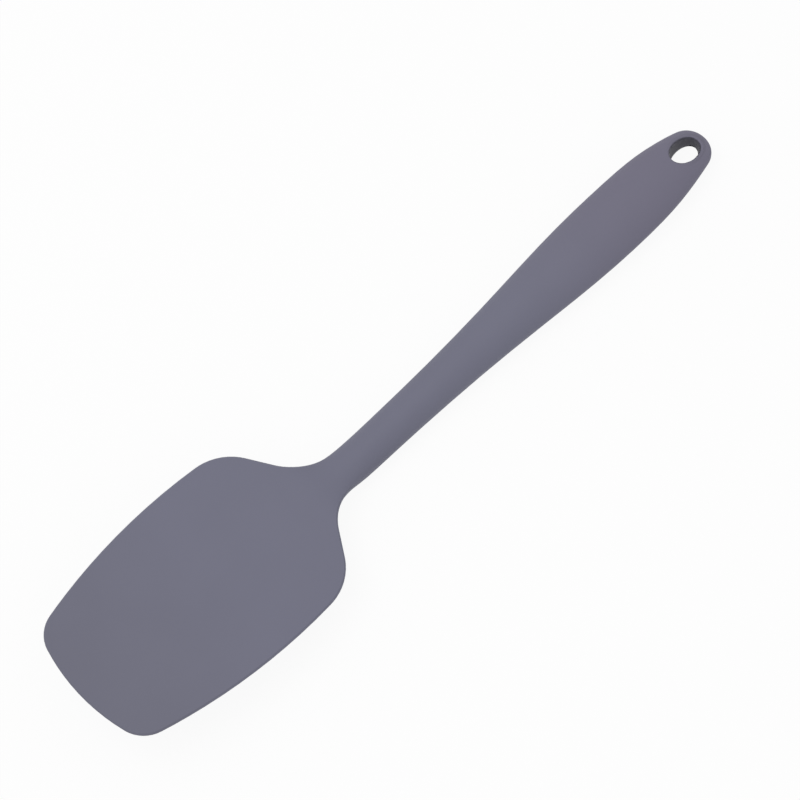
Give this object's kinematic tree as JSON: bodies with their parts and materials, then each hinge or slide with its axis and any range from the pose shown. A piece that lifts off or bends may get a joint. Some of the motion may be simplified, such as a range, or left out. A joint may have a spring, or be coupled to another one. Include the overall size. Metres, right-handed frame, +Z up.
{
  "type": "silicone spatula",
  "caption": "Seamless silicone kitchen spatula: broad thin blade with a rounded tip, narrow neck, palm-swell handle and hanging eye, moulded over a hidden stiff nylon core.",
  "frame": {"origin": "below the middle of the whole length, on the surface that the spatula lies on; the handle's underside touches it", "axes": "+X along the spatula, from the blade's tip to the hanging eye; +Y across the blade; +Z up, out of the blade's flat face"},
  "size_m": [0.28, 0.065, 0.0232],
  "materials": {
    "silicone": "matt food-grade silicone, slate grey with a violet cast, fine moulded texture",
    "glass_filled_nylon": "as-moulded matt, near black"
  },
  "bodies": {
    "root": {"silicone_body": "silicone", "nylon_core": "glass_filled_nylon"}
  },
  "joints": []
}
